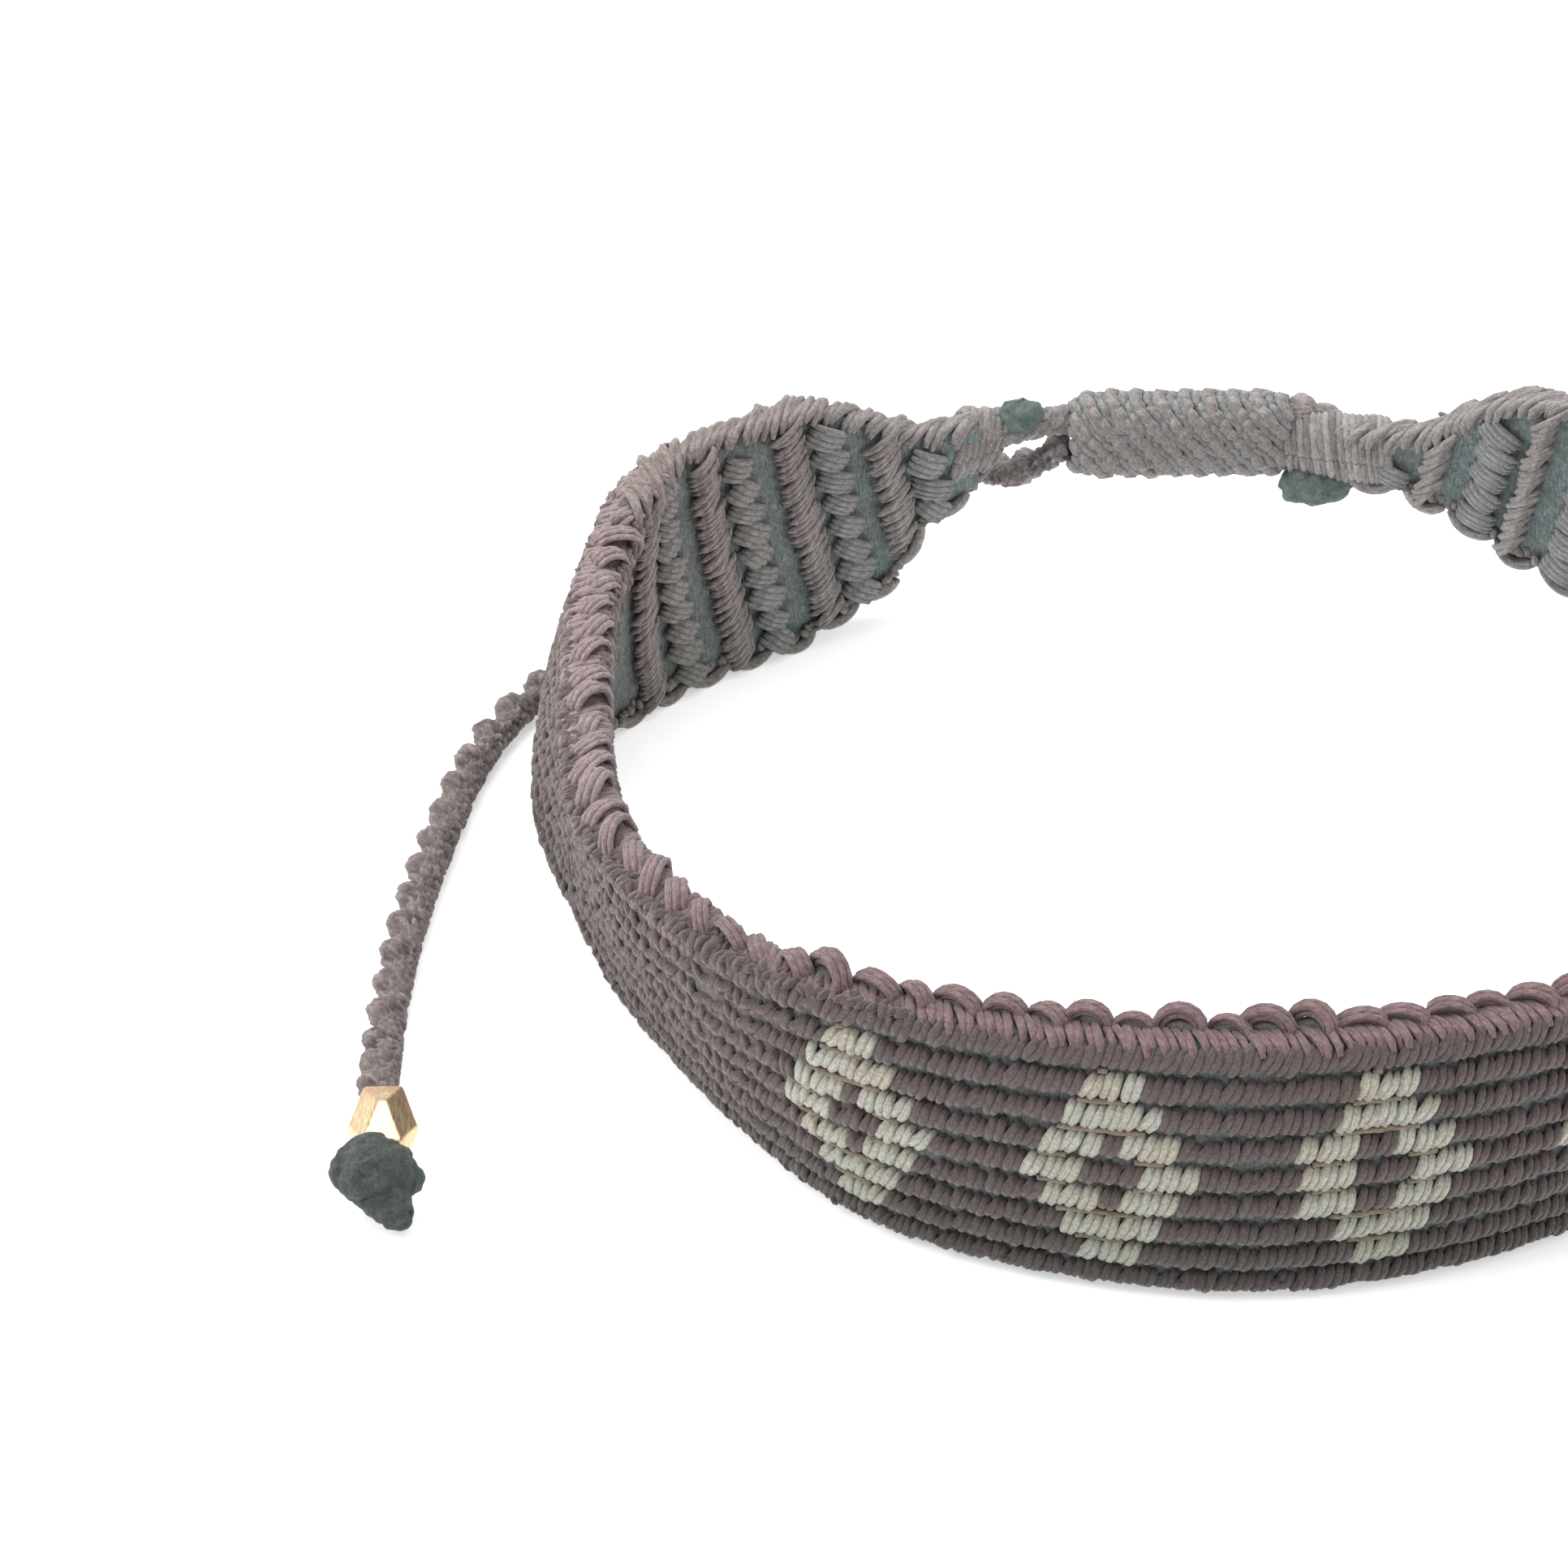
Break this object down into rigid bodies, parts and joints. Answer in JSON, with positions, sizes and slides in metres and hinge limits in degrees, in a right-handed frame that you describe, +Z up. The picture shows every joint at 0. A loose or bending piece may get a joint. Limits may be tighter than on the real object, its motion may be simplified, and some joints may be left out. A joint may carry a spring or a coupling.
{
  "type": "friendship bracelet",
  "caption": "Knotted thread bracelet standing on its edge: a ribbed band with a scalloped rim, tapers, a knotted sliding sleeve and loose cord tails with cut brass beads.",
  "frame": {"origin": "on the surface that the band stands on, under the middle of the loop's bounding box", "axes": "+Z up, +Y from the front of the band towards the sliding closure, +X to the right seen from the front"},
  "size_m": [0.0749, 0.0584, 0.0138],
  "materials": {
    "mauve_thread": "matte",
    "cream_thread": "matte",
    "melted_thread": "matte",
    "brass": "satin"
  },
  "bodies": {
    "root": {"band": "mauve_thread", "edge_loops": "mauve_thread", "taper_left": "mauve_thread", "taper_right": "mauve_thread", "slide_cord_left": "mauve_thread", "slide_cord_right": "mauve_thread", "closure_sleeve": "mauve_thread", "sleeve_end_left": "melted_thread", "sleeve_end_right": "melted_thread", "tie_left": "mauve_thread", "tie_right": "mauve_thread", "bead_left": "brass", "bead_right": "brass", "end_knot_left": "melted_thread", "end_knot_right": "melted_thread"}
  },
  "joints": []
}
